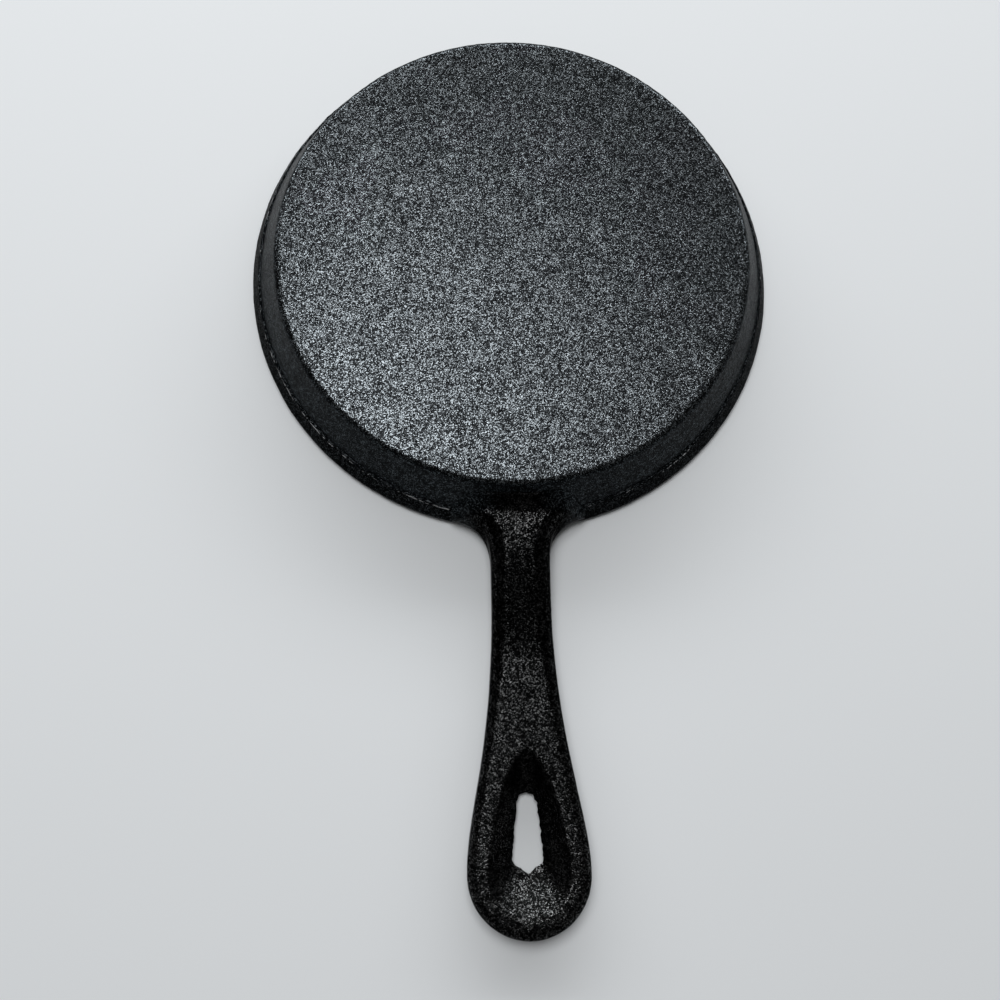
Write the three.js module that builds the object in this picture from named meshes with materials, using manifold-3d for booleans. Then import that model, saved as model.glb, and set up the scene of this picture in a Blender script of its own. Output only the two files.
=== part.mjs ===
// A small cast-iron skillet with a flared wall, a rolled lip and a handle that ends in a teardrop eye.
// The iron is poured in one go. Here the casting is divided where its section changes:
// floor, wall, rim band and handle.
// Millimetres, +Z up. The origin is the centre of the base's underside, and the handle points along -Y.

import * as THREE from 'three';
import { LoftGeometry } from 'three/addons/geometries/LoftGeometry.js';
import { mergeVertices } from 'three/addons/utils/BufferGeometryUtils.js';
import Module from 'manifold-3d';

// Pan
const RIM_RADIUS = 82.5;
const PAN_HEIGHT = 21;
const WALL_FLARE = THREE.MathUtils.degToRad(27); // from upright
const WALL_THICKNESS = 3.8; // square to the wall
const FLOOR_THICKNESS = 4;
const BASE_ROUND = 2.4; // outer corner between base and wall
const FLOOR_FILLET = 7; // inner corner between floor and wall
const RIM_BAND_HEIGHT = 7.8; // from the parting line up to the lip's top
const PARTING_STEP = 0.6; // how far the rim band stands out from the wall
const LIP_ROUND = 2;
const LIP_INNER_ROUND = 0.7;

// Handle, seen from above
const HANDLE_LENGTH = 117.5; // from the rim to the handle's end
const GRIP_WIDTH = 17.7; // at the waist
const WAIST_LENGTH = 19.5; // from the rim to where the grip starts to widen
const EYE_WIDTH = 35.2;
const FLANK_EASE_WAIST = 0.576; // how slowly the flank leaves the waist, as a share of its length
const FLANK_EASE_EYE = 0.218; // how slowly it meets the eye

// Handle, seen from the side: depths are below the handle's widest line
const TOP_DROP = 0.3; // handle's top face below the lip's top
const CROWN = 2.2; // widest line up to the top face
const ROOT_DEPTH = 11.5;
const GRIP_DEPTH = 7.4;
const EYE_DEPTH = 8.2;
const ROOT_TAPER = 42; // length over which the root thins to the grip
const EYE_TAPER = 40; // length over which the grip thickens to the eye
const UNDER_ROUND = 5; // long edges of the underside
const EYE_ROUND = 3.3; // the same edge round the eye
const TOP_ROUND = 2.8; // long edges of the top face
const ROOT_BLEND_UNDER = 4.5; // size of the fillet under the root
const ROOT_BLEND_SIDE = 11.5; // size of the fillets beside the root
const ROOT_FLARE = 0.55; // how far the underside widens with these fillets, as a share

// Eye: a funnel-shaped recess on the underside runs down to the hanging hole
const HOLE_WIDTH = 9;
const HOLE_NECK = 17.1; // hole's widest line to its end towards the pan
const HOLE_TAIL = 5.1; // hole's widest line to its far end
const HOLE_OFFSET = 4.9; // hole's widest line from the eye's centre, towards the pan
const RECESS_WIDTH = 23.2;
const RECESS_NECK = 33.9; // recess's widest line, at the eye's centre, to its tip
const RECESS_TAIL = 11.7;
const RECESS_POINT = 0.22; // how far the tip is drawn in
const TOP_DISH = 0.4; // top recess's size, as a share of the way from hole to underside recess

const SEAM_GAP = 0.3; // clearance where the handle is shaped by the pan

// Facets
const ROUND_SEGMENTS = 96;
const ARC_STEPS = 2; // half the steps of a rounded corner
const SECTION_STEPS = 14; // steps across a handle section, above and below
const NECK_STATIONS = 12;
const FLANK_STATIONS = 18;
const END_STATIONS = 10;
const EYE_SEGMENTS = 48;
const EYE_LEVELS = 4; // from the hole to the recess's edge; one more runs clear of the underside

// Straight lines of the pan's section: radius at a height above the base
const slope = Math.tan(WALL_FLARE);
const across = 1 / Math.cos(WALL_FLARE);
const lipRadius = RIM_RADIUS - LIP_ROUND;
const lipHeight = PAN_HEIGHT - LIP_ROUND;
const partingHeight = PAN_HEIGHT - RIM_BAND_HEIGHT;
const bandRadius = (z) => lipRadius + LIP_ROUND * across + (z - lipHeight) * slope;
const wallRadius = (z) => bandRadius(z) - PARTING_STEP;
const innerRadius = (z) => wallRadius(z) - WALL_THICKNESS * across;
const filletHeight = FLOOR_THICKNESS + FLOOR_FILLET;
const floorRadius = innerRadius(filletHeight) - FLOOR_FILLET * across;

// Handle's heights and places along Y
const topFace = PAN_HEIGHT - TOP_DROP;
const widestHeight = topFace - CROWN;
const gripHalf = GRIP_WIDTH / 2;
const eyeRadius = EYE_WIDTH / 2;
const eyeY = eyeRadius - RIM_RADIUS - HANDLE_LENGTH;
const waistY = -RIM_RADIUS - WAIST_LENGTH;
const rootY = -wallRadius(0);
const rootHalf = gripHalf + ROOT_BLEND_SIDE;

const wasm = await Module();
wasm.setup();

function solidOf(geometry) {
  const bare = new THREE.BufferGeometry();
  bare.setAttribute('position', geometry.attributes.position);
  bare.setIndex(geometry.index);
  const merged = mergeVertices(bare);
  const corners = [];
  for (let i = 0; i < merged.index.count; i += 3) {
    const [a, b, c] = merged.index.array.slice(i, i + 3);
    if (a !== b && b !== c && c !== a) corners.push(a, b, c);
  }
  const vertProperties = merged.attributes.position.array;
  const triVerts = new Uint32Array(corners);
  return new wasm.Manifold(new wasm.Mesh({ numProp: 3, vertProperties, triVerts }));
}

function geometryOf(solid) {
  const mesh = solid.getMesh();
  const geometry = new THREE.BufferGeometry();
  geometry.setAttribute('position', new THREE.BufferAttribute(mesh.vertProperties, 3));
  geometry.setIndex(new THREE.BufferAttribute(mesh.triVerts, 1));
  geometry.computeVertexNormals();
  return geometry;
}

// Turns a section, drawn as radius and height, about the pan's axis
function turned(path) {
  const geometry = new THREE.LatheGeometry(path.getPoints(ARC_STEPS), ROUND_SEGMENTS);
  return geometry.rotateX(Math.PI / 2);
}

function floorGeometry() {
  const path = new THREE.Path();
  path.moveTo(0, 0);
  path.lineTo(floorRadius, 0);
  path.lineTo(floorRadius, FLOOR_THICKNESS);
  path.lineTo(0, FLOOR_THICKNESS);
  return turned(path);
}

function wallGeometry() {
  const baseRadius = wallRadius(BASE_ROUND) - BASE_ROUND * across;
  const path = new THREE.Path();
  path.moveTo(floorRadius, 0);
  path.lineTo(baseRadius, 0);
  path.absarc(baseRadius, BASE_ROUND, BASE_ROUND, -Math.PI / 2, -WALL_FLARE);
  path.lineTo(wallRadius(partingHeight), partingHeight);
  path.lineTo(innerRadius(partingHeight), partingHeight);
  path.absarc(floorRadius, filletHeight, FLOOR_FILLET, -WALL_FLARE, -Math.PI / 2, true);
  path.lineTo(floorRadius, 0);
  return turned(path);
}

function rimGeometry() {
  const innerLipHeight = PAN_HEIGHT - LIP_INNER_ROUND;
  const innerLipRadius = innerRadius(innerLipHeight) + LIP_INNER_ROUND * across;
  const path = new THREE.Path();
  path.moveTo(innerRadius(partingHeight), partingHeight);
  path.lineTo(bandRadius(partingHeight), partingHeight);
  path.absarc(lipRadius, lipHeight, LIP_ROUND, -WALL_FLARE, Math.PI / 2);
  path.absarc(innerLipRadius, innerLipHeight, LIP_INNER_ROUND, Math.PI / 2, Math.PI - WALL_FLARE);
  path.lineTo(innerRadius(partingHeight), partingHeight);
  return turned(path);
}

// Everything inside the pan's outer face, grown by the seam's clearance
function panEnvelope() {
  const grown = SEAM_GAP * across;
  const path = new THREE.Path();
  path.moveTo(0, 0);
  path.lineTo(wallRadius(0) + grown, 0);
  path.lineTo(wallRadius(partingHeight - SEAM_GAP) + grown, partingHeight - SEAM_GAP);
  path.lineTo(bandRadius(partingHeight - SEAM_GAP) + grown, partingHeight - SEAM_GAP);
  path.absarc(lipRadius, lipHeight, LIP_ROUND + SEAM_GAP, -WALL_FLARE, Math.PI / 2);
  path.lineTo(0, PAN_HEIGHT + SEAM_GAP);
  return solidOf(turned(path));
}

// Half the grip's width and how deep its underside lies, at a place along the handle
const flankLength = waistY - eyeY;
const flank = new THREE.CubicBezierCurve(
  new THREE.Vector2(gripHalf, waistY),
  new THREE.Vector2(gripHalf, waistY - FLANK_EASE_WAIST * flankLength),
  new THREE.Vector2(eyeRadius, eyeY + FLANK_EASE_EYE * flankLength),
  new THREE.Vector2(eyeRadius, eyeY),
);

// 0 along the grip, rising to 1 at the eye
function eyeShare(y) {
  const recessOut = -RIM_RADIUS - eyeY - RECESS_NECK;
  return THREE.MathUtils.smoothstep(-RIM_RADIUS - y, recessOut - EYE_TAPER, recessOut);
}

function depthAt(y) {
  const thinning = THREE.MathUtils.smoothstep(-RIM_RADIUS - y, 0, ROOT_TAPER);
  const grip = THREE.MathUtils.lerp(ROOT_DEPTH, GRIP_DEPTH, thinning);
  return THREE.MathUtils.lerp(grip, EYE_DEPTH, eyeShare(y));
}

// Distance out of the handle's bar, whose underside has rounded edges
function outOfBar(x, y, z, half) {
  const sideways = Math.abs(x) - half + UNDER_ROUND;
  const down = widestHeight - z - depthAt(y) + UNDER_ROUND;
  const corner = Math.hypot(Math.max(sideways, 0), Math.max(down, 0));
  return corner + Math.min(Math.max(sideways, down), 0) - UNDER_ROUND;
}

// Distance out of handle and pan together, with a fillet where they meet
function outOfRoot(x, y, z, half) {
  const bar = outOfBar(x, y, z, half);
  const pan = (Math.hypot(x, y) - wallRadius(z)) / across;
  const lift = THREE.MathUtils.clamp(1 - (widestHeight - z) / ROOT_DEPTH, 0, 1);
  const blend = THREE.MathUtils.lerp(ROOT_BLEND_UNDER, ROOT_BLEND_SIDE, lift);
  const near = Math.max(blend - Math.abs(bar - pan), 0);
  return Math.min(bar, pan) - (near * near) / (4 * blend);
}

// First place from low to high where a distance falls to zero
function crossing(distance, low, high) {
  let outside = low;
  let inside = high;
  for (let i = 0; i < 40; i++) {
    const middle = (outside + inside) / 2;
    if (distance(middle) > 0) outside = middle;
    else inside = middle;
  }
  return inside;
}

// Edge rounding: 0 at the edge, 1 from the full width of the rounding inwards
const rounded = (inwards, width) => Math.sqrt(1 - (1 - THREE.MathUtils.clamp(inwards / width, 0, 1)) ** 2);

// Height of the underside at a distance in from the handle's edge
function underneath(inwards, y) {
  const round = THREE.MathUtils.lerp(UNDER_ROUND, EYE_ROUND, eyeShare(y));
  return widestHeight - depthAt(y) + round * (1 - rounded(inwards, round));
}

// One closed section across the handle, from its right edge over the top to the left and back below
function section(y, half, underside) {
  const inwards = (x) => (y < eyeY ? eyeRadius - Math.hypot(x, y - eyeY) : half - Math.abs(x));
  const points = [];
  for (let i = 0; i < 2 * SECTION_STEPS; i++) {
    const turn = (Math.PI * i) / SECTION_STEPS;
    const x = half * Math.cos(turn);
    const edge = i % SECTION_STEPS === 0;
    let z = widestHeight;
    if (!edge && i < SECTION_STEPS) z += CROWN * rounded(inwards(x), TOP_ROUND);
    if (!edge && i > SECTION_STEPS) z = underside(x, inwards(x));
    points.push(new THREE.Vector3(x, y, z));
  }
  return points;
}

function handleBar() {
  const sections = [];
  for (let i = 0; i <= NECK_STATIONS; i++) {
    const y = THREE.MathUtils.lerp(rootY, waistY, i / NECK_STATIONS);
    const half = crossing((out) => -outOfRoot(out, y, widestHeight, gripHalf), 0, rootHalf);
    const low = widestHeight - 2 * ROOT_DEPTH;
    const underHalf = THREE.MathUtils.lerp(gripHalf, half, ROOT_FLARE);
    const underside = (x) => crossing((z) => outOfRoot(x, y, z, underHalf), Math.max(low, 0), widestHeight);
    sections.push(section(y, half, underside));
  }
  for (let i = 1; i <= FLANK_STATIONS; i++) {
    const { x: half, y } = flank.getPoint(i / FLANK_STATIONS);
    sections.push(section(y, half, (x, inwards) => underneath(inwards, y)));
  }
  for (let i = 1; i <= END_STATIONS; i++) {
    const turn = (Math.PI / 2) * (i / END_STATIONS);
    const y = eyeY - eyeRadius * Math.sin(turn);
    const half = i < END_STATIONS ? eyeRadius * Math.cos(turn) : 0;
    sections.push(section(y, half, (x, inwards) => underneath(inwards, y)));
  }
  return solidOf(new LoftGeometry(sections, { capStart: true }));
}

// One teardrop ring of the eye's funnel: level 0 is the hanging hole, level 1 the recess's outer edge
function eyeRing(level, z) {
  const between = (hole, recess) => THREE.MathUtils.lerp(hole, recess, level);
  const half = between(HOLE_WIDTH / 2, RECESS_WIDTH / 2);
  const centre = eyeY + between(HOLE_OFFSET, 0);
  const neck = between(HOLE_NECK, RECESS_NECK);
  const tail = between(HOLE_TAIL, RECESS_TAIL);
  const points = [];
  for (let i = 0; i < EYE_SEGMENTS; i++) {
    const turn = (2 * Math.PI * i) / EYE_SEGMENTS;
    const along = Math.cos(turn);
    const drawnIn = 1 - between(0, RECESS_POINT) * Math.max(along, 0);
    points.push(new THREE.Vector3(-half * Math.sin(turn) * drawnIn, centre + along * (along > 0 ? neck : tail), z));
  }
  return points;
}

function eyeCutter() {
  const rings = [];
  for (let i = EYE_LEVELS + 1; i >= 0; i--) {
    const level = i / EYE_LEVELS;
    rings.push(eyeRing(level, widestHeight - EYE_DEPTH * level));
  }
  rings.push(eyeRing(TOP_DISH, topFace));
  rings.push(eyeRing(TOP_DISH, topFace + CROWN));
  return solidOf(new LoftGeometry(rings, { capStart: true, capEnd: true }));
}

function handleGeometry() {
  return geometryOf(handleBar().subtract(eyeCutter()).subtract(panEnvelope()));
}

const iron = (color, roughness) => new THREE.MeshStandardMaterial({ color, roughness, metalness: 0.5 });

function subPart(name, geometry, material) {
  const mesh = new THREE.Mesh(geometry, material);
  mesh.name = name;
  return mesh;
}

const skillet = new THREE.Group();
skillet.add(subPart('pan_floor', floorGeometry(), iron(0x2e2f31, 0.5)));
skillet.add(subPart('side_wall', wallGeometry(), iron(0x1c1d1e, 0.55)));
skillet.add(subPart('rim_band', rimGeometry(), iron(0x1d1e1f, 0.55)));
skillet.add(subPart('handle', handleGeometry(), iron(0x171718, 0.5)));

export default skillet;
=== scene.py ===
# Dresses the cast-iron skillet: its cast skin and edges, its seasoned iron, pale floors, soft light and a
# camera. Metres, in the frame's axes: +Z up out of the pan's mouth, the handle along -Y. The camera looks
# at the underside, so the surface that the turned-over pan lies on is level with the rim.

import math
from bisect import bisect_right
from functools import lru_cache

import bmesh
import bpy
from mathutils import Matrix, Vector, noise


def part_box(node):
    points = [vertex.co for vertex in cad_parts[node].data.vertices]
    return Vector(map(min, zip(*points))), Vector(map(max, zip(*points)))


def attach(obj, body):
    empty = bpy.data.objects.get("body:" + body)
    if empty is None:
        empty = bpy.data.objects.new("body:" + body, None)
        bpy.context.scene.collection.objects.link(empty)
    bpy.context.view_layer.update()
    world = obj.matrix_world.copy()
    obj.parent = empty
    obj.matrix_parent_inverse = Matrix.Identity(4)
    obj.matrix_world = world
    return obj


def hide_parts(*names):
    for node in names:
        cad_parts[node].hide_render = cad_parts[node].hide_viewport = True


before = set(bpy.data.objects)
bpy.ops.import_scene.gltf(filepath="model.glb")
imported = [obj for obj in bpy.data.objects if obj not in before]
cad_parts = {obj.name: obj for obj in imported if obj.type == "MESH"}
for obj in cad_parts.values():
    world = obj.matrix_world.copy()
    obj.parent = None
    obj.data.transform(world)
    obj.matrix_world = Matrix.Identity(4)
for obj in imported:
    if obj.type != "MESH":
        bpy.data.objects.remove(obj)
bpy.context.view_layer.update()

MM = 0.001

# Sizes that the frame gives
rim_low, rim_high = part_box("rim_band")
_, floor_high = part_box("pan_floor")
handle_low, handle_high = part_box("handle")
RIM_RADIUS = rim_high.y
PAN_HEIGHT = rim_high.z
PARTING_HEIGHT = rim_low.z
FLOOR_RADIUS = floor_high.y
FLOOR_THICKNESS = floor_high.z
HANDLE_END = handle_low.y
TOP_FACE = handle_high.z

# Pan
WALL_FLARE = math.radians(27)  # from upright
WALL_THICKNESS = 3.8 * MM
BASE_ROUND = 2.4 * MM
FLOOR_FILLET = 7 * MM
PARTING_STEP = 0.6 * MM
LIP_ROUND = 2 * MM
LIP_INNER_ROUND = 0.7 * MM
LEDGE_ROUND = 0.3 * MM  # rim band's lower edge
SEAM_DIP = 0.15 * MM  # shallow groove where the two halves of the mould met
SEAM_WIDTH = 0.8 * MM
FLASH = 0.3 * MM  # iron that crept into the mould's joint
FLASH_LENGTH = 3 * MM

# Handle, seen from above
GRIP_HALF = 8.85 * MM
EYE_RADIUS = 17.6 * MM
WAIST_LENGTH = 19.5 * MM  # rim to where the grip starts to widen
FLANK_EASE_WAIST = 0.576
FLANK_EASE_EYE = 0.218

# Handle, seen from the side
CROWN = 2.2 * MM  # widest line up to the top face
ROOT_DEPTH = 11.5 * MM  # depths are below the widest line
GRIP_DEPTH = 7.4 * MM
EYE_DEPTH = 8.2 * MM
ROOT_TAPER = 42 * MM
EYE_TAPER = 40 * MM
UNDER_ROUND = 5 * MM  # long edges of the underside
EYE_ROUND = 3.3 * MM  # the same edge round the eye
ROOT_ROUND = 6 * MM  # and at the root
TOP_ROUND = 2.8 * MM
ROOT_BLEND_UNDER = 4.5 * MM
ROOT_BLEND_SIDE = 11.5 * MM
ROOT_FLARE = 0.55  # how far the underside widens with the fillets beside the root
ROOT_SUNK = 0.05 * MM  # how far the root's feathered edge lies under the pan's skin

# Eye
HOLE_HALF = 4.45 * MM
HOLE_NECK = 17.1 * MM
HOLE_TAIL = 5.2 * MM
HOLE_OFFSET = 4.9 * MM
HOLE_TAPER = 0.43  # how much the hole narrows towards the pan
HOLE_SLANT = 1.6  # how fast the hole closes to a point at its far end
HOLE_TIP = 0.05
HOLE_POINT_BLEND = 0.3  # how softly the sides turn into the point
HOLE_POINT_REACH = 0.12  # share of the way to the recess's edge over which the point fades
HOLE_CORNER = 24  # the higher, the squarer the hole's ends
RECESS_HALF = 11.6 * MM
RECESS_NECK = 33.9 * MM
RECESS_TAIL = 11.7 * MM
RECESS_POINT = 0.22
RECESS_BOWL = 1.2  # above 1, the recess gets steeper towards its edge
CREST_ROUND = 0.6 * MM
TOP_DISH = 0.4  # top recess's size, as a share of the way from the hole to the recess underneath
DISH_ROUND = 0.5 * MM
RAGGED = 0.45 * MM  # flash left round the hole's edge
RAGGED_LENGTH = 1.3 * MM
RAGGED_REACH = 0.08  # share of the way from the hole to the recess's edge

# Handle's root, inside the wall
ROOT_START = 80.6 * MM  # radius where the top and sides start
ROOT_UNDER_START = 74.4 * MM  # radius where the underside starts
ROOT_EDGE_SHARE = 0.65  # from here outwards the underside's start moves up to the sides' start
ROOT_CLOSE = 12 * MM  # height where the root's end closes

# Casting's unevenness and sand grain
GRAIN_SEED = 3
WAVER = 0.08 * MM
WAVER_LENGTH = 9 * MM
GRAIN_LENGTH = 1.5 * MM
BASE_GRAIN = 0.045 * MM
WALL_GRAIN = 0.08 * MM
COOKING_GRAIN = 0.05 * MM
HANDLE_GRAIN = 0.045 * MM
SAND_GRAIN = 0.25 * MM
SPECKLE_ROUGHNESS = 0.6
FINE_GRAIN = 0.35 * MM
PATCHES = 14 * MM
CAST_SHARE = 0.15  # how much the cast grain, the fine grain and the patches change a sand grain's shine
FINE_SHARE = 0.25
PATCH_SHARE = 0.1
PIT_END = 0.4  # grains with less shine than this are pits
SHARP_ANGLE = math.radians(40)  # edges that turn further stay sharp

# Where each finish shows
BASE_EDGE = (0.3 * MM, 0.7 * MM)  # heights over which the base gives way to the wall
COOKING_START = (0.4, 0.6)  # shares of the floor's thickness
COOKING_EDGE = 0.3 * MM
ROOT_EDGE = (0.8 * MM, 5 * MM)  # distances from the wall over which it gives way to the handle
# Where the painted highlight on the swelling under the root shows
BOSS_START = 3 * MM  # distance from the wall
BOSS_END = (3 * MM, 14 * MM)
BOSS_SIDE = (0, 9 * MM)  # distances from the handle's middle
BOSS_HIGHLIGHT_STRENGTH = 0.35
# Where the grip's painted sheen starts and ends
GRIP_SHEEN_START = 10 * MM  # beyond the waist
GRIP_SHEEN_END = 6 * MM  # beyond the eye's centre
# Painted highlights in dashes along the parting line's flash, where it catches the light
DASH_LENGTH = 1.4 * MM
DASH_WIDTH = 0.5 * MM
DASH_LEAST = 0.1  # the higher, the fewer dashes
# A thin painted reflection of the pale floor along the lip's rounded edge
LIP_REFLECTION = 0.9 * MM
LIP_REFLECTION_LENGTH = 6 * MM
LIP_REFLECTION_LEAST = -0.04
LIP_REFLECTION_STRENGTH = 0.15
HIGHLIGHT_SIDE = 1.5  # how much the painted highlights grow towards +X, the lit side, per metre
HIGHLIGHT_FADE = 0.06

# Mesh steps
ROUND_STEPS = 768
DOUBLINGS = 4
DISC_STEPS = ROUND_STEPS // 4  # cells along each side of the square that becomes the pan's floor
RUN_STEP = 0.55 * MM
ARC_STEP = 0.4 * MM
FEWEST_ARC_STEPS = 4
NECK_ROWS = 64
FLANK_ROWS = 100
EYE_ROWS = 120
UNDER_COLUMNS = 46
SIDE_COLUMNS = 3
TOP_COLUMNS = UNDER_COLUMNS  # the same, so that top and underside close on each other inside the wall
CURVE_STEPS = 200
EDGE_CROWDING = 0.65
ALMOST = 0.9999  # just inside the handle's edge
MERGE = 0.001 * MM
HALVINGS = 36  # steps that close in on a crossing

# Camera, floors and room
CAMERA_PLACE = Vector((18.43, -139.59, -292.43)) * MM
CAMERA_LOOK = Vector((-0.04104, 0.20802, 0.97726))
CAMERA_UP = Vector((-0.01747, 0.97779, -0.20887))
FOCAL_PIXELS = 1033.5
FRAME_PIXELS = 1000
SENSOR = 36  # millimetres
TABLE_DROP = 0.4 * MM  # rim-side floor below the lip's top, and base-side floor below the base
FLOOR_REACH = 1.6
PINHOLE = 1 * MM  # opening of the base-side floor, under the pan
FLOOR_COLOUR = (0.84, 0.85, 0.86)
ROOM_COLOUR = (0.8, 0.8, 0.8)
ROOM_LIGHT = 0.12

noise.seed_set(GRAIN_SEED)

# Straight lines of the pan's section, as radius at a height above the base
slope = math.tan(WALL_FLARE)
across = 1 / math.cos(WALL_FLARE)
lip_radius = RIM_RADIUS - LIP_ROUND
lip_height = PAN_HEIGHT - LIP_ROUND
fillet_height = FLOOR_THICKNESS + FLOOR_FILLET
widest_height = TOP_FACE - CROWN
eye_y = HANDLE_END + EYE_RADIUS
waist_y = -RIM_RADIUS - WAIST_LENGTH


def band_radius(z):
    return lip_radius + LIP_ROUND * across + (z - lip_height) * slope


def wall_radius(z):
    return band_radius(z) - PARTING_STEP


def inner_radius(z):
    return wall_radius(z) - WALL_THICKNESS * across


def core_radius(z):
    return wall_radius(z) - WALL_THICKNESS * across / 2


def clamp(value, low=0.0, high=1.0):
    return min(max(value, low), high)


def lerp(start, end, share):
    return start + (end - start) * share


def smoothstep(value, start, end):
    share = clamp((value - start) / (end - start))
    return share * share * (3 - 2 * share)


def smooth_min(first, second, blend):
    near = max(blend - abs(first - second), 0)
    return min(first, second) - near * near / (4 * blend)


# Pan: two turned rings and a flat disc


def run(start, end):
    steps = max(1, round(math.dist(start, end) / RUN_STEP))
    return [tuple(lerp(a, b, i / steps) for a, b in zip(start, end)) for i in range(steps + 1)]


def arc(centre, radius, start, end):
    steps = max(FEWEST_ARC_STEPS, round(radius * abs(end - start) / ARC_STEP))
    angles = [lerp(start, end, i / steps) for i in range(steps + 1)]
    return [(centre[0] + radius * math.cos(a), centre[1] + radius * math.sin(a)) for a in angles]


def turned(section):
    """Spins a section through one sector of the circle, then doubles the sector until it closes."""
    bm = bmesh.new()
    ring = [bm.verts.new((0, -radius, z)) for radius, z in section]
    sides = [bm.edges.new(pair) for pair in zip(ring, ring[1:] + ring[:1])]
    sector = 2 * math.pi / 2**DOUBLINGS
    steps = ROUND_STEPS // 2**DOUBLINGS
    bmesh.ops.spin(bm, geom=ring + sides, axis=(0, 0, 1), angle=sector, steps=steps)
    for doubling in range(DOUBLINGS):
        copy = bmesh.ops.duplicate(bm, geom=bm.verts[:] + bm.edges[:] + bm.faces[:])["geom"]
        moved = [part for part in copy if isinstance(part, bmesh.types.BMVert)]
        turn = Matrix.Rotation(sector * 2**doubling, 3, "Z")
        bmesh.ops.rotate(bm, verts=moved, matrix=turn)
    return bm


def cleaned(bm):
    bmesh.ops.remove_doubles(bm, verts=bm.verts, dist=MERGE)
    bmesh.ops.recalc_face_normals(bm, faces=bm.faces)


def inside_pan(place):
    above = place.z > FLOOR_THICKNESS / 2
    return above and math.hypot(place.x, place.y) < core_radius(place.z)


def grain_depth(place):
    if inside_pan(place):
        pan = COOKING_GRAIN
    else:
        pan = lerp(BASE_GRAIN, WALL_GRAIN, smoothstep(place.z, 0, BASE_ROUND / 2))
    return lerp(pan, HANDLE_GRAIN, smoothstep(-place.y, RIM_RADIUS, RIM_RADIUS + ROOT_BLEND_SIDE))


def roughen(bm):
    """Moves the points by the casting's waver and grain, and keeps the grain's height for the finishes.

    The moves depend only on where a point is, so pieces that share an edge stay together."""
    height = bm.verts.layers.float.new("grain")
    bm.normal_update()
    for vert in bm.verts:
        place = vert.co.copy()
        grain = noise.noise_vector(place / GRAIN_LENGTH)
        vert[height] = grain.dot(vert.normal)
        vert.co += grain * grain_depth(place) + noise.noise_vector(place / WAVER_LENGTH) * WAVER


def finished(name, bm, material, node):
    for face in bm.faces:
        face.smooth = True
    for edge in bm.edges:
        edge.smooth = edge.calc_face_angle(0) < SHARP_ANGLE
    roughen(bm)
    mesh = bpy.data.meshes.new(name)
    bm.to_mesh(mesh)
    bm.free()
    mesh.materials.append(material)
    piece = bpy.data.objects.new(name, mesh)
    bpy.context.scene.collection.objects.link(piece)
    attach(piece, "root")
    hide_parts(node)


def on_disc(x, y):
    """Moves a square's point to the disc of the same half-size, the square's rim in even steps."""
    radius = max(abs(x), abs(y))
    if radius == 0:
        return 0, 0
    turn = math.pi / 4 * y / x if abs(x) > abs(y) else math.pi / 2 - math.pi / 4 * x / y
    outwards = x if abs(x) > abs(y) else y
    return outwards * math.cos(turn), outwards * math.sin(turn)


def floor_mesh():
    bm = bmesh.new()
    bmesh.ops.create_grid(bm, x_segments=DISC_STEPS, y_segments=DISC_STEPS, size=FLOOR_RADIUS)
    for vert in bm.verts:
        vert.co.xy = on_disc(vert.co.x, vert.co.y)
    top = bmesh.ops.extrude_face_region(bm, geom=bm.faces[:])["geom"]
    lifted = [part for part in top if isinstance(part, bmesh.types.BMVert)]
    bmesh.ops.translate(bm, verts=lifted, vec=(0, 0, FLOOR_THICKNESS))
    cleaned(bm)
    return bm


def wall_mesh():
    base_edge = wall_radius(BASE_ROUND) - BASE_ROUND * across
    seam_start = PARTING_HEIGHT - SEAM_WIDTH
    base_corner = arc((base_edge, BASE_ROUND), BASE_ROUND, -math.pi / 2, -WALL_FLARE)
    fillet = arc((FLOOR_RADIUS, fillet_height), FLOOR_FILLET, -WALL_FLARE, -math.pi / 2)
    seam = (wall_radius(PARTING_HEIGHT) - SEAM_DIP, PARTING_HEIGHT)
    section = run((FLOOR_RADIUS, 0), base_corner[0])[:-1] + base_corner
    section += run(base_corner[-1], (wall_radius(seam_start), seam_start))[1:]
    section += [seam]
    section += run((inner_radius(PARTING_HEIGHT), PARTING_HEIGHT), fillet[0])[:-1]
    section += fillet
    bm = turned(section)
    cleaned(bm)
    return bm


def rim_mesh():
    inner_height = PAN_HEIGHT - LIP_INNER_ROUND
    inner_centre = (inner_radius(inner_height) + LIP_INNER_ROUND * across, inner_height)
    ledge_height = PARTING_HEIGHT + LEDGE_ROUND
    ledge_centre = (band_radius(ledge_height) - LEDGE_ROUND * across, ledge_height)
    ledge = arc(ledge_centre, LEDGE_ROUND, -math.pi / 2, -WALL_FLARE)
    lip = arc((lip_radius, lip_height), LIP_ROUND, -WALL_FLARE, math.pi / 2)
    inner_lip = arc(inner_centre, LIP_INNER_ROUND, math.pi / 2, math.pi - WALL_FLARE)
    foot = (inner_radius(PARTING_HEIGHT), PARTING_HEIGHT)
    section = [foot] + ledge + run(ledge[-1], lip[0])[1:-1] + lip
    section += inner_lip + run(inner_lip[-1], foot)[1:-1]
    bm = turned(section)
    for vert in bm.verts:
        outside = math.hypot(vert.co.x, vert.co.y) > wall_radius(vert.co.z)
        if outside and vert.co.z < ledge_height + LEDGE_ROUND:
            creep = FLASH * max(noise.noise(vert.co.xy.to_3d() / FLASH_LENGTH), 0)
            vert.co += vert.co.xy.normalized().to_3d() * creep
    cleaned(bm)
    return bm


# Handle: a sheet along it, from the middle of the underside round the edge to the middle of the top


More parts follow.
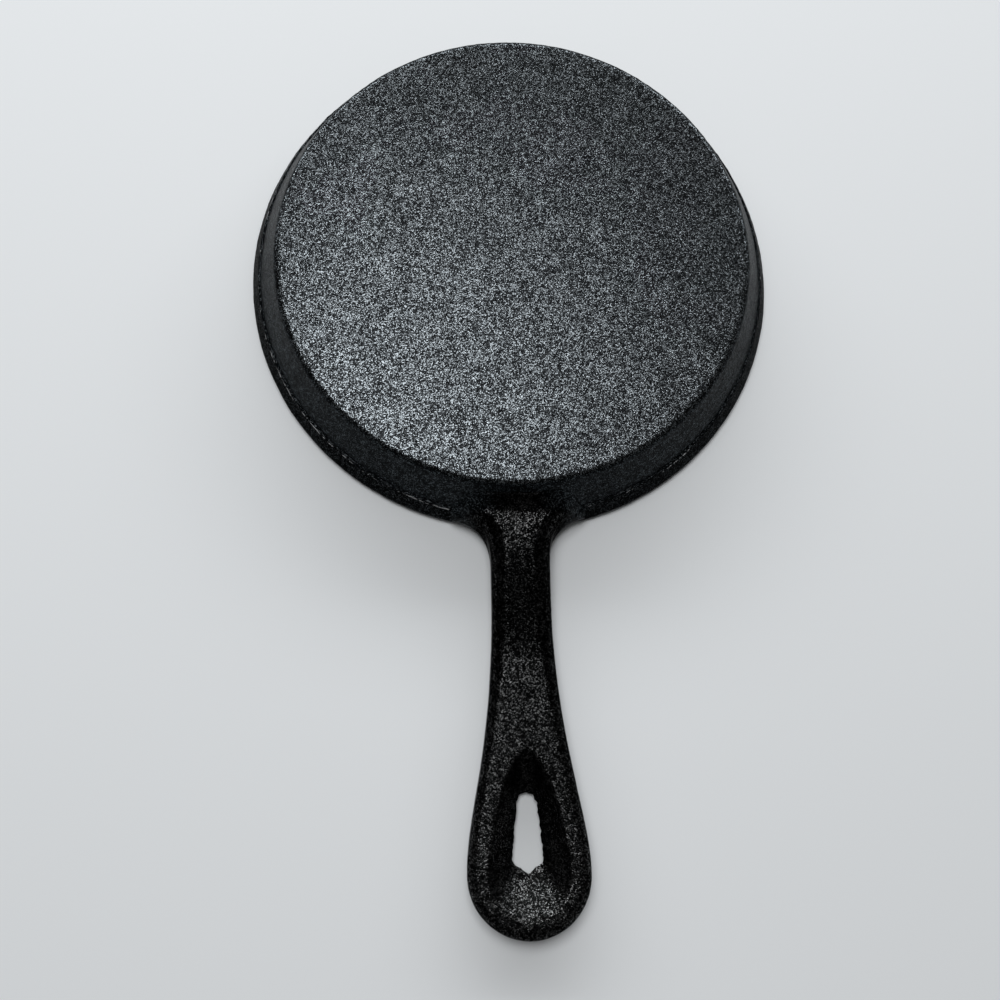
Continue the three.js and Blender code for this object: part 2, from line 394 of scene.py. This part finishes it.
def flank_point(share):
    """Half-width and place of the grip's edge between waist and eye."""
    length = waist_y - eye_y
    back = 1 - share
    weights = (back**3, 3 * back * back * share, 3 * back * share * share, share**3)
    halves = (GRIP_HALF, GRIP_HALF, EYE_RADIUS, EYE_RADIUS)
    places = (waist_y, waist_y - FLANK_EASE_WAIST * length, eye_y + FLANK_EASE_EYE * length, eye_y)
    half = sum(w * h for w, h in zip(weights, halves))
    place = sum(w * p for w, p in zip(weights, places))
    return half, place


def crossing(distance, low, high):
    """Where a distance that is positive at low falls to zero on the way to high."""
    for _ in range(HALVINGS):
        middle = (low + high) / 2
        if distance(middle) > 0:
            low = middle
        else:
            high = middle
    return high


def eye_share(y):
    """0 along the grip, rising to 1 at the eye."""
    recess_out = -RIM_RADIUS - eye_y - RECESS_NECK
    return smoothstep(-RIM_RADIUS - y, recess_out - EYE_TAPER, recess_out)


def depth_at(y):
    grip = lerp(ROOT_DEPTH, GRIP_DEPTH, smoothstep(-RIM_RADIUS - y, 0, ROOT_TAPER))
    return lerp(grip, EYE_DEPTH, eye_share(y))


def out_of_bar(x, y, z, half):
    edge_round = lerp(ROOT_ROUND, UNDER_ROUND, smoothstep(-RIM_RADIUS - y, 0, WAIST_LENGTH))
    sideways = abs(x) - half + edge_round
    down = widest_height - z - depth_at(y) + edge_round
    corner = math.hypot(max(sideways, 0), max(down, 0))
    return corner + min(max(sideways, down), 0) - edge_round


def out_of_root(x, y, z, half):
    """Distance out of grip and pan together, with a fillet where they meet."""
    step = PARTING_STEP * smoothstep(z, PARTING_HEIGHT - LEDGE_ROUND, PARTING_HEIGHT + LEDGE_ROUND)
    pan = (math.hypot(x, y) - wall_radius(z) - step) / across + ROOT_SUNK
    lift = clamp(1 - (widest_height - z) / ROOT_DEPTH)
    return smooth_min(out_of_bar(x, y, z, half), pan, lerp(ROOT_BLEND_UNDER, ROOT_BLEND_SIDE, lift))


@lru_cache(maxsize=None)
def half_at(y):
    """Handle's half-width."""
    if y > waist_y:
        most = GRIP_HALF + ROOT_BLEND_SIDE
        return crossing(lambda x: -out_of_root(x, y, widest_height, GRIP_HALF), 0, most)
    if y > eye_y:
        return flank_point(crossing(lambda share: flank_point(share)[1] - y, 0, 1))[0]
    return math.sqrt(max(EYE_RADIUS**2 - (y - eye_y) ** 2, 0))


def hole_shape(along, level):
    """Hole's half-width as a share of its widest, from -1 at its far end to 1 at its end near the pan."""
    closing = math.sqrt(max(1 - abs(along) ** HOLE_CORNER, 0))
    if along > 0:
        return (1 - HOLE_TAPER * along) * closing
    point = smooth_min(1, HOLE_SLANT * (1 + along) + HOLE_TIP, HOLE_POINT_BLEND) * closing
    round_end = math.sqrt(max(1 + along**3, 0))
    return lerp(point, round_end, clamp(level / HOLE_POINT_REACH))


def recess_shape(along):
    return math.sqrt(max(1 - along * along, 0)) * (1 - RECESS_POINT * max(along, 0))


def eye_level(x, y):
    """0 at the hole's edge, 1 at the recess's edge, and 2 far from it."""
    if y > eye_y + lerp(HOLE_OFFSET + HOLE_NECK, RECESS_NECK, 2):
        return 2

    def outside(level):
        reach = y - eye_y - lerp(HOLE_OFFSET, 0, level)
        neck = lerp(HOLE_NECK, RECESS_NECK, level)
        tail = lerp(HOLE_TAIL, RECESS_TAIL, level)
        along = reach / neck if reach > 0 else reach / tail
        if abs(along) >= 1:
            return 1
        return abs(x) - lerp(HOLE_HALF * hole_shape(along, level), RECESS_HALF * recess_shape(along), level)

    return crossing(outside, 0, 2)


def rounded(inwards, width):
    missing = 1 - clamp(inwards / width)
    return math.sqrt(1 - missing * missing)


def inwards_at(x, y):
    if y < eye_y:
        return EYE_RADIUS - math.hypot(x, y - eye_y)
    return half_at(y) - abs(x)


def underside(x, y):
    """Height of the handle's underside beyond the waist."""
    edge_round = lerp(UNDER_ROUND, EYE_ROUND, eye_share(y))
    depth = depth_at(y) - edge_round * (1 - rounded(inwards_at(x, y), edge_round))
    funnel = EYE_DEPTH * eye_level(x, y) ** RECESS_BOWL
    return widest_height - smooth_min(depth, funnel, CREST_ROUND)


def top_side(x, y):
    rise = CROWN * rounded(inwards_at(x, y), TOP_ROUND)
    dish = CROWN * eye_level(x, y) / TOP_DISH
    return widest_height + smooth_min(rise, dish, DISH_ROUND)


def travel(points):
    """Gives the point at a share of the length of a line through points."""
    lengths = [0]
    for start, end in zip(points, points[1:]):
        lengths.append(lengths[-1] + math.dist(start, end))

    def at(share):
        goal = share * lengths[-1]
        i = min(bisect_right(lengths, goal), len(points) - 1) - 1
        part = (goal - lengths[i]) / (lengths[i + 1] - lengths[i])
        return tuple(lerp(a, b, part) for a, b in zip(points[i], points[i + 1]))

    return at


def hole_edge():
    centre = eye_y + HOLE_OFFSET
    points = []
    for i in range(CURVE_STEPS + 1):
        along = math.cos(math.pi * i / CURVE_STEPS)
        reach = HOLE_NECK if along > 0 else HOLE_TAIL
        points.append((HOLE_HALF * hole_shape(along, 0), centre + along * reach))
    return travel(points)


def eye_edge(start_y):
    points = []
    for i in range(CURVE_STEPS):
        y = lerp(start_y, eye_y, i / CURVE_STEPS)
        points.append((half_at(y), y))
    for i in range(CURVE_STEPS + 1):
        turn = math.pi / 2 * i / CURVE_STEPS
        points.append((EYE_RADIUS * math.cos(turn), eye_y - EYE_RADIUS * math.sin(turn)))
    return travel(points)


def column_place(column):
    """Which side a column of the sheet is on, and its share of the way from the middle to the edge."""
    if column <= UNDER_COLUMNS:
        share = column / UNDER_COLUMNS
        return "under", lerp(share, math.sin(math.pi / 2 * share), EDGE_CROWDING)
    if column < UNDER_COLUMNS + SIDE_COLUMNS:
        return "side", (column - UNDER_COLUMNS) / SIDE_COLUMNS
    share = (UNDER_COLUMNS + SIDE_COLUMNS + TOP_COLUMNS - column) / TOP_COLUMNS
    return "top", lerp(share, math.sin(math.pi / 2 * share), EDGE_CROWDING)


def root_underside(x, y):
    under_half = lerp(GRIP_HALF, half_at(y), ROOT_FLARE)
    return crossing(lambda z: out_of_root(x, y, z, under_half), 0, widest_height)


def sheet_point(side, share, x, y, half, under):
    """A point of the sheet at a place in plan; the edge's side face stands upright at the half-width."""
    if side == "side":
        return Vector((half, y, lerp(under(half * ALMOST, y), widest_height, share)))
    if side == "under":
        return Vector((x, y, under(x * ALMOST, y)))
    return Vector((x, y, top_side(x, y) if share < 1 else widest_height))


def neck_point(row, side, share):
    """Rows of the neck start inside the wall, on a line that the wall hides, and end at the waist."""
    root_half = GRIP_HALF + ROOT_BLEND_SIDE
    across_share = 1 if side == "side" else share
    x = root_half * across_share
    if row == 0:
        return Vector((x, -math.sqrt(core_radius(ROOT_CLOSE) ** 2 - x * x), ROOT_CLOSE))
    start_radius = ROOT_START
    if side == "under":
        start_radius = lerp(ROOT_UNDER_START, ROOT_START, smoothstep(share, ROOT_EDGE_SHARE, 1))
    start = -math.sqrt(start_radius**2 - x * x)
    y = lerp(start, waist_y, (row - 1) / (NECK_ROWS - 1))
    half = half_at(y)
    return sheet_point(side, share, half * across_share, y, half, root_underside)


def handle_mesh():
    hole_top = eye_y + HOLE_OFFSET + HOLE_NECK
    hole = hole_edge()
    outline = eye_edge(hole_top)
    flank_end = crossing(lambda part: flank_point(part)[1] - hole_top, 0, 1)
    rows = NECK_ROWS + FLANK_ROWS + EYE_ROWS
    columns = UNDER_COLUMNS + SIDE_COLUMNS + TOP_COLUMNS

    def place(row, column):
        side, share = column_place(column)
        if row < NECK_ROWS:
            return neck_point(row, side, share)
        if row < NECK_ROWS + FLANK_ROWS:
            half, y = flank_point(flank_end * (row - NECK_ROWS) / FLANK_ROWS)
            return sheet_point(side, share, half * share, y, half, underside)
        part = (row - NECK_ROWS - FLANK_ROWS) / EYE_ROWS
        inner = hole(part)
        outer = outline(part)
        x, y = (lerp(a, b, 1 if side == "side" else share) for a, b in zip(inner, outer))
        return sheet_point(side, share, x, y, x, underside)

    bm = bmesh.new()
    bmesh.ops.create_grid(bm, x_segments=rows, y_segments=columns, size=0.5)
    for vert in bm.verts:
        vert.co = place(round((vert.co.x + 0.5) * rows), round((vert.co.y + 0.5) * columns))
    bmesh.ops.mirror(bm, geom=bm.verts[:] + bm.edges[:] + bm.faces[:], axis="X", merge_dist=MERGE)
    cleaned(bm)
    for vert in bm.verts:
        near_hole = 1 - clamp(eye_level(vert.co.x, vert.co.y) / RAGGED_REACH)
        vert.co.xy += noise.noise_vector(vert.co / RAGGED_LENGTH).xy * RAGGED * near_hole
    return bm


# Finishes


class Signal:
    """A node's output in one material, for use in sums."""

    def __init__(self, tree, socket=None):
        self.tree = tree
        self.socket = socket

    def node(self, kind, settings, sockets, output=0):
        made = self.tree.nodes.new(kind)
        for name, value in settings.items():
            setattr(made, name, value)
        for name, value in sockets.items():
            if isinstance(value, Signal):
                self.tree.links.new(value.socket, made.inputs[name])
            else:
                made.inputs[name].default_value = value
        return Signal(self.tree, made.outputs[output] if made.outputs else None)

    def calc(self, operation, first, second):
        return self.node("ShaderNodeMath", {"operation": operation}, {0: first, 1: second})

    def __add__(self, other):
        return self.calc("ADD", self, other)

    def __radd__(self, other):
        return self.calc("ADD", other, self)

    def __sub__(self, other):
        return self.calc("SUBTRACT", self, other)

    def __rsub__(self, other):
        return self.calc("SUBTRACT", other, self)

    def __mul__(self, other):
        return self.calc("MULTIPLY", self, other)

    def __rmul__(self, other):
        return self.calc("MULTIPLY", other, self)

    def __abs__(self):
        return self.calc("ABSOLUTE", self, 0)


def new_material(name):
    material = bpy.data.materials.new(name)
    material.use_nodes = True
    material.node_tree.nodes.clear()
    return material, Signal(material.node_tree)


def speckle(maker, place, size, detail):
    sockets = {"Vector": place, "Scale": 1 / size, "Detail": detail, "Roughness": SPECKLE_ROUGHNESS}
    return maker.node("ShaderNodeTexNoise", {"noise_dimensions": "3D"}, sockets, "Fac") - 0.5


def step_up(maker, value, start, end):
    settings = {"interpolation_type": "SMOOTHSTEP"}
    return maker.node("ShaderNodeMapRange", settings, {"Value": value, "From Min": start, "From Max": end})


def blended(maker, share, first, second):
    """Mixes two colours. Inputs 6 and 7 and output 2 are the node's colour sockets."""
    ends = [value if isinstance(value, Signal) else (*value, 1) for value in (first, second)]
    return maker.node("ShaderNodeMix", {"data_type": "RGBA"}, {"Factor": share, 6: ends[0], 7: ends[1]}, 2)


BASE_LOOK = {
    "pits": (0.001, 0.001, 0.0012),
    "body": (0.012, 0.013, 0.014),
    "tops": (0.25, 0.274, 0.29),
    "top_start": 0.63,
    "metallic": 0.9,
    "roughness": 0.28,
    "pit_roughness": 0.2,
    "top_polish": 0.04,
    "gloss": 0.2,
    "edge": 0.35,
    "relief": 0.033 * MM,
}
WALL_LOOK = {
    "pits": (0.0005, 0.0006, 0.0008),
    "body": (0.003, 0.0042, 0.0052),
    "tops": (0.09, 0.106, 0.116),
    "top_start": 0.68,
    "metallic": 0.7,
    "roughness": 0.38,
    "pit_roughness": 0.2,
    "top_polish": 0.1,
    "gloss": 0.045,
    "edge": 0.7,
    "relief": 0.075 * MM,
}
# The rim band is darker and duller than the wall: painted shade, for the shadowed floor beside the rim that
# it reflects
RIM_SHADE_LOOK = {
    "pits": (0.0005, 0.0005, 0.0006),
    "body": (0.0018, 0.0023, 0.0027),
    "tops": (0.07, 0.077, 0.082),
    "top_start": 0.72,
    "metallic": 0.7,
    "roughness": 0.38,
    "pit_roughness": 0.2,
    "top_polish": 0.1,
    "gloss": 0.02,
    "edge": 0.4,
    "relief": 0.075 * MM,
}
# Pale finish, for painted highlights on the parting line and a painted reflection along the lip
PAINTED_HIGHLIGHT_LOOK = {
    "pits": (0.03, 0.03, 0.031),
    "body": (0.3, 0.3, 0.303),
    "tops": (0.5, 0.5, 0.505),
    "top_start": 0.5,
    "metallic": 0.8,
    "roughness": 0.42,
    "pit_roughness": 0.15,
    "top_polish": 0.08,
    "gloss": 0.3,
    "edge": 1.0,
    "relief": 0.03 * MM,
}
COOKING_LOOK = {
    "pits": (0.003, 0.003, 0.003),
    "body": (0.01, 0.0103, 0.0106),
    "tops": (0.13, 0.134, 0.138),
    "top_start": 0.66,
    "metallic": 0.7,
    "roughness": 0.34,
    "pit_roughness": 0.2,
    "top_polish": 0.06,
    "gloss": 0.2,
    "edge": 0.5,
    "relief": 0.036 * MM,
}
SHANK_LOOK = {
    "pits": (0.0002, 0.0002, 0.0002),
    "body": (0.001, 0.001, 0.001),
    "tops": (0.07, 0.07, 0.07),
    "top_start": 0.74,
    "metallic": 0.9,
    "roughness": 0.22,
    "pit_roughness": 0.25,
    "top_polish": 0.06,
    "gloss": 0.02,
    "edge": 0.35,
    "relief": 0.022 * MM,
}
# Paler tops, for the grip's painted sheen and the boss's painted highlight
GRIP_SHEEN_LOOK = {
    "pits": (0.0004, 0.0004, 0.0004),
    "body": (0.005, 0.005, 0.005),
    "tops": (0.16, 0.16, 0.16),
    "top_start": 0.7,
    "metallic": 0.9,
    "roughness": 0.25,
    "pit_roughness": 0.25,
    "top_polish": 0.06,
    "gloss": 0.03,
    "edge": 0.35,
    "relief": 0.04 * MM,
}


def finish(maker, look, grain, pebbles):
    """One finish of the iron: dark and dull in the grain's pits, paler and smoother on its tops."""
    tops = step_up(maker, grain, look["top_start"], 1.0)
    pits = 1 - step_up(maker, grain, 0.0, PIT_END)
    colour = blended(maker, pits, blended(maker, tops, look["body"], look["tops"]), look["pits"])
    relief = {"Strength": 1, "Distance": look["relief"], "Height": pebbles}
    edge = look["edge"]
    sockets = {
        "Base Color": colour,
        "Metallic": look["metallic"],
        "Roughness": look["roughness"] + pits * look["pit_roughness"] - tops * look["top_polish"],
        "Specular IOR Level": look["gloss"],
        "Specular Tint": (edge, edge, edge, 1),
        "Normal": maker.node("ShaderNodeBump", {}, relief),
    }
    return maker.node("ShaderNodeBsdfPrincipled", {}, sockets)


def iron(name, looks):
    """Cast iron. Each look goes with a function that says where it shows; the first is the ground."""
    material, maker = new_material(name)
    place = maker.node("ShaderNodeTexCoord", {}, {}, "Object")
    cast = maker.node("ShaderNodeAttribute", {"attribute_name": "grain"}, {}, "Fac")
    sand = {"Vector": place, "Scale": 1 / SAND_GRAIN}
    shine = maker.node("ShaderNodeTexVoronoi", {}, sand, "Color")
    off_middle = maker.node("ShaderNodeTexVoronoi", {}, sand, "Distance")
    patches = speckle(maker, place, PATCHES, 3)
    fine = speckle(maker, place, FINE_GRAIN, 1)
    grain = maker.node("ShaderNodeSeparateColor", {}, {"Color": shine}, "Red")
    grain = grain + cast * CAST_SHARE + fine * FINE_SHARE + patches * PATCH_SHARE
    pebbles = 1 - off_middle * off_middle
    shader = finish(maker, looks[0][0], grain, pebbles)
    for look, where in looks[1:]:
        other = finish(maker, look, grain, pebbles)
        shader = maker.node("ShaderNodeMixShader", {}, {"Fac": where(maker, place), 1: shader, 2: other})
    maker.node("ShaderNodeOutputMaterial", {}, {"Surface": shader})
    return material


def axis_of(maker, place, axis):
    return maker.node("ShaderNodeSeparateXYZ", {}, {"Vector": place}, axis)


def radius_of(maker, place):
    flat = maker.node("ShaderNodeVectorMath", {"operation": "MULTIPLY"}, {0: place, 1: (1, 1, 0)})
    return maker.node("ShaderNodeVectorMath", {"operation": "LENGTH"}, {0: flat}, "Value")


def on_base(maker, place):
    return 1 - step_up(maker, axis_of(maker, place, "Z"), *BASE_EDGE)


def on_cooking_side(maker, place):
    height = axis_of(maker, place, "Z")
    inwards = core_radius(0) - radius_of(maker, place) + slope * height
    above = step_up(maker, height, *(share * FLOOR_THICKNESS for share in COOKING_START))
    return above * step_up(maker, inwards, -COOKING_EDGE, COOKING_EDGE)


def on_rim_band(maker, place):
    return step_up(maker, axis_of(maker, place, "Z"), PARTING_HEIGHT - LEDGE_ROUND, PARTING_HEIGHT)


def painted_highlight_line(maker, place, height, width, length, least):
    """Dashes of painted highlight along an edge, more of them towards +X, the lit side."""
    off_line = abs(axis_of(maker, place, "Z") - height)
    glints = speckle(maker, place, length, 1) + speckle(maker, place, PATCHES, 1)
    glints = glints + axis_of(maker, place, "X") * HIGHLIGHT_SIDE
    on_line = 1 - step_up(maker, off_line, width / 3, width / 2)
    return on_line * step_up(maker, glints, least, least + HIGHLIGHT_FADE)


def on_parting_highlights(maker, place):
    height = PARTING_HEIGHT + LEDGE_ROUND
    return painted_highlight_line(maker, place, height, DASH_WIDTH, DASH_LENGTH, DASH_LEAST)


# Painted reflection of the floor along the lip, more of it towards +X.
def on_lip_reflection(maker, place):
    glints = painted_highlight_line(maker, place, lip_height, LIP_REFLECTION, LIP_REFLECTION_LENGTH, LIP_REFLECTION_LEAST)
    return LIP_REFLECTION_STRENGTH * glints


def on_grip_painted_sheen(maker, place):
    """The grip's far half and the eye get paler tops, and the shank near the pan stays black: painted sheen
    out there, and painted shade where the shank reflects the room's dark side.
    """
    outwards = -1 * axis_of(maker, place, "Y")
    return step_up(maker, outwards, GRIP_SHEEN_START - waist_y, GRIP_SHEEN_END - eye_y)


def off_wall(maker, place):
    return radius_of(maker, place) - wall_radius(0) - slope * axis_of(maker, place, "Z")


def on_root_edge(maker, place):
    """Beside the root, the handle's skin runs out over the wall and takes its finish."""
    aside = abs(axis_of(maker, place, "X"))
    near = 1 - step_up(maker, off_wall(maker, place), *ROOT_EDGE)
    return near * step_up(maker, aside, GRIP_HALF / 2, GRIP_HALF + ROOT_BLEND_SIDE / 2)


def on_boss_highlight(maker, place):
    """A painted highlight on the swelling under the root, strongest in its middle."""
    away = off_wall(maker, place)
    aside = abs(axis_of(maker, place, "X"))
    near = step_up(maker, away, 0, BOSS_START) * (1 - step_up(maker, away, *BOSS_END))
    return BOSS_HIGHLIGHT_STRENGTH * near * (1 - step_up(maker, aside, *BOSS_SIDE))


pan_looks = (
    (WALL_LOOK, None),
    (RIM_SHADE_LOOK, on_rim_band),
    (PAINTED_HIGHLIGHT_LOOK, on_parting_highlights),
    (PAINTED_HIGHLIGHT_LOOK, on_lip_reflection),
    (BASE_LOOK, on_base),
    (COOKING_LOOK, on_cooking_side),
)
base_iron = iron("base_iron", pan_looks)
wall_iron = iron("wall_iron", pan_looks)
handle_looks = (
    (SHANK_LOOK, None),
    (GRIP_SHEEN_LOOK, on_grip_painted_sheen),
    (GRIP_SHEEN_LOOK, on_boss_highlight),
    (WALL_LOOK, on_root_edge),
)
handle_iron = iron("handle_iron", handle_looks)

finished("pan_floor_skin", floor_mesh(), base_iron, "pan_floor")
finished("side_wall_skin", wall_mesh(), wall_iron, "side_wall")
finished("rim_band_skin", rim_mesh(), wall_iron, "rim_band")
finished("handle_skin", handle_mesh(), handle_iron, "handle")


# Floors: one for the turned-over pan, seen from below, and one for the standing pan, seen from above


def pale_floor(name):
    material, maker = new_material(name)
    pale = maker.node("ShaderNodeBsdfDiffuse", {}, {"Color": (*FLOOR_COLOUR, 1)})
    clear = maker.node("ShaderNodeBsdfTransparent", {}, {})
    behind = maker.node("ShaderNodeNewGeometry", {}, {}, "Backfacing")
    shader = maker.node("ShaderNodeMixShader", {}, {"Fac": behind, 1: pale, 2: clear})
    maker.node("ShaderNodeOutputMaterial", {}, {"Surface": shader})
    return material


def floor_sheet(name, height, opening, facing):
    bm = bmesh.new()
    edges = []
    for radius in (FLOOR_REACH, opening):
        ring = bmesh.ops.create_circle(bm, segments=ROUND_STEPS // 4, radius=radius)["verts"]
        edges += {edge for vert in ring for edge in vert.link_edges}
    bmesh.ops.bridge_loops(bm, edges=edges)
    bmesh.ops.translate(bm, verts=bm.verts, vec=(0, 0, height))
    bm.normal_update()
    if bm.faces[:][0].normal.z * facing < 0:
        bmesh.ops.reverse_faces(bm, faces=bm.faces)
    mesh = bpy.data.meshes.new(name)
    bm.to_mesh(mesh)
    bm.free()
    mesh.materials.append(pale_floor(name))
    floor = bpy.data.objects.new(name, mesh)
    bpy.context.scene.collection.objects.link(floor)
    # The lamps shine through the floors. The camera sees both, and reflections only the rim's side.
    floor.visible_shadow = False
    floor.visible_diffuse = False
    floor.visible_transmission = False
    return floor


floor_sheet("rim_side_floor", PAN_HEIGHT - TABLE_DROP, lip_radius, -1)
base_floor = floor_sheet("base_side_floor", -TABLE_DROP, PINHOLE, 1)
base_floor.visible_glossy = False


# Light


def lamp(name, direction, colour, distance, width, height, radiance):
    data = bpy.data.lights.new(name, "AREA")
    data.shape = "RECTANGLE"
    data.size = width
    data.size_y = height
    data.energy = radiance * math.pi * width * height
    data.color = colour
    light = bpy.data.objects.new(name, data)
    towards = Vector(direction).normalized()
    light.location = towards * distance
    light.rotation_mode = "QUATERNION"
    light.rotation_quaternion = towards.to_track_quat("Z", "Y")
    bpy.context.scene.collection.objects.link(light)


lamp("under_key", (0.12, 0.2, -0.97), (0.97, 0.99, 1), distance=1.2, width=0.7, height=0.6, radiance=5.6)
lamp("under_window", (-0.04, 0.9, -0.43), (0.95, 0.98, 1), distance=1.4, width=3.8, height=0.4, radiance=6)
lamp("upper_key", (0, 0, 1), (1, 1, 1), distance=3.2, width=4.4, height=4.4, radiance=2)
lamp("upper_fill", (0.6, 0.5, 0.6), (1, 1, 1), distance=1.4, width=1.0, height=1.0, radiance=1.2)

world = bpy.data.worlds.new("soft_room")
world.use_nodes = True
world.node_tree.nodes.clear()
room = Signal(world.node_tree)
seen = room.node("ShaderNodeLightPath", {}, {}, "Is Camera Ray")
strength = ROOM_LIGHT + seen * (1 - ROOM_LIGHT)
glow = room.node("ShaderNodeBackground", {}, {"Color": (*ROOM_COLOUR, 1), "Strength": strength})
room.node("ShaderNodeOutputWorld", {}, {"Surface": glow})
bpy.context.scene.world = world

# Camera
camera_data = bpy.data.cameras.new("camera")
camera_data.sensor_width = SENSOR
camera_data.lens = SENSOR * FOCAL_PIXELS / FRAME_PIXELS
camera_data.clip_start = 1 * MM
camera = bpy.data.objects.new("camera", camera_data)
sideways = CAMERA_LOOK.cross(CAMERA_UP)
axes = Matrix((sideways, CAMERA_UP, -CAMERA_LOOK)).transposed()
camera.matrix_world = Matrix.Translation(CAMERA_PLACE) @ axes.to_4x4()
bpy.context.scene.collection.objects.link(camera)
bpy.context.scene.camera = camera

bpy.context.scene.view_settings.view_transform = "Standard"
